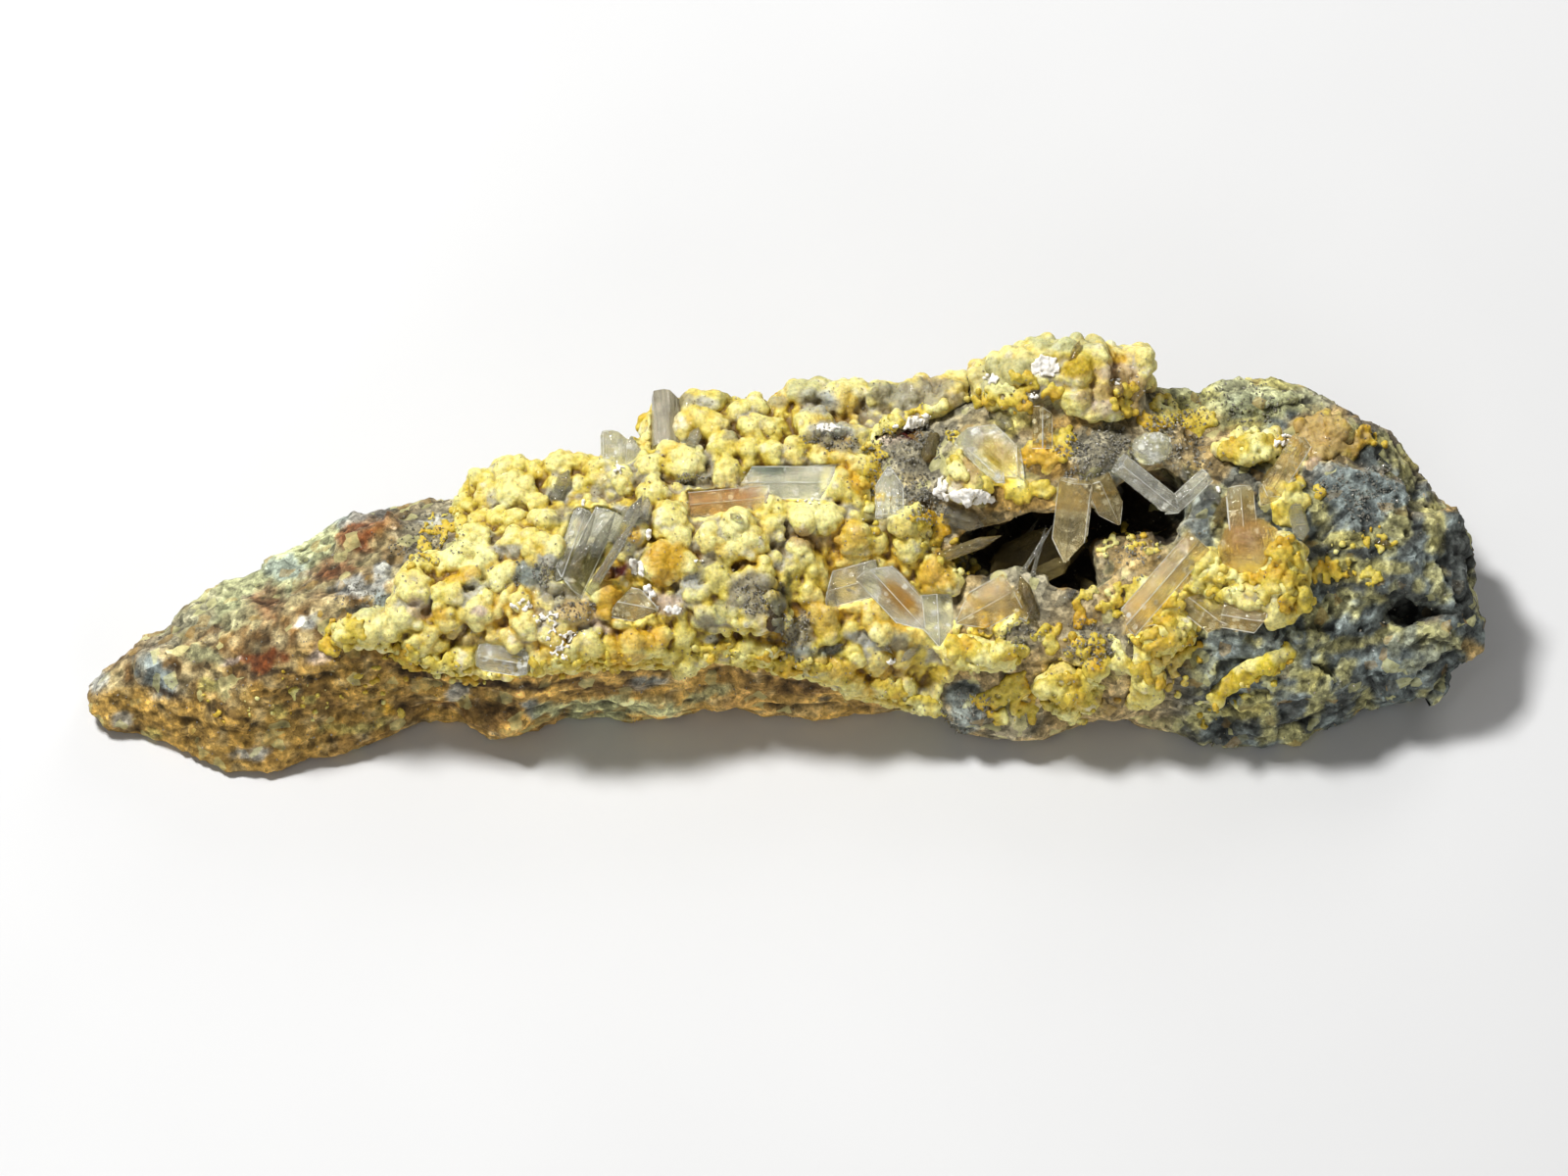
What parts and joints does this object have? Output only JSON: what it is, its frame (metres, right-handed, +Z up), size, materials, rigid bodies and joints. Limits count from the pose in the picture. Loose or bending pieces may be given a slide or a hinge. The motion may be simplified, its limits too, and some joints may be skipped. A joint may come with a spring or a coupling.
{
  "type": "native sulfur crystal",
  "caption": "Long hand specimen of brown and grey matrix rock, coated with knobbly yellow native sulfur and set with clear and tan crystal prisms, with a crystal-lined hollow.",
  "frame": {"origin": "centre of the bounding box in plan, on the flat cut base (z = 0)", "axes": "+X along the specimen towards its blunt, higher end; the showy side faces -Y and up; +Z up"},
  "size_m": [0.1502, 0.0411, 0.0301],
  "materials": {
    "rock": "rough, granular, with fine sparkle",
    "sulfur": "matt to waxy, knobbly",
    "clear_crystal": "glossy, clear to cloudy",
    "tan_crystal": "glossy, cloudy tan"
  },
  "bodies": {
    "root": {"matrix_rock": "rock", "sulfur_cap": "sulfur", "sulfur_crust_main": "sulfur", "sulfur_crust_right": "sulfur", "sulfur_knob_fringe": "sulfur", "sulfur_patch_lower": "sulfur", "sulfur_patch_upper": "sulfur", "sulfur_vein": "sulfur", "gypsum_block_crystal": "clear_crystal", "gypsum_chisel_crystal": "clear_crystal", "gypsum_crossing_prisms": "clear_crystal", "gypsum_grey_point": "clear_crystal", "gypsum_left_prisms": "clear_crystal", "gypsum_long_prism": "clear_crystal", "gypsum_main_cluster": "clear_crystal", "gypsum_oval_crystal": "clear_crystal", "gypsum_pale_knob": "clear_crystal", "gypsum_slab_and_prism": "clear_crystal", "gypsum_brown_crystal": "tan_crystal", "gypsum_brown_right": "tan_crystal", "gypsum_finger_cluster": "tan_crystal", "gypsum_hanging_drops": "tan_crystal", "gypsum_rim_block": "tan_crystal", "gypsum_right_plate": "tan_crystal", "gypsum_tan_plate": "tan_crystal", "gypsum_tan_upright": "tan_crystal", "vug_crystals": "tan_crystal"}
  },
  "joints": []
}
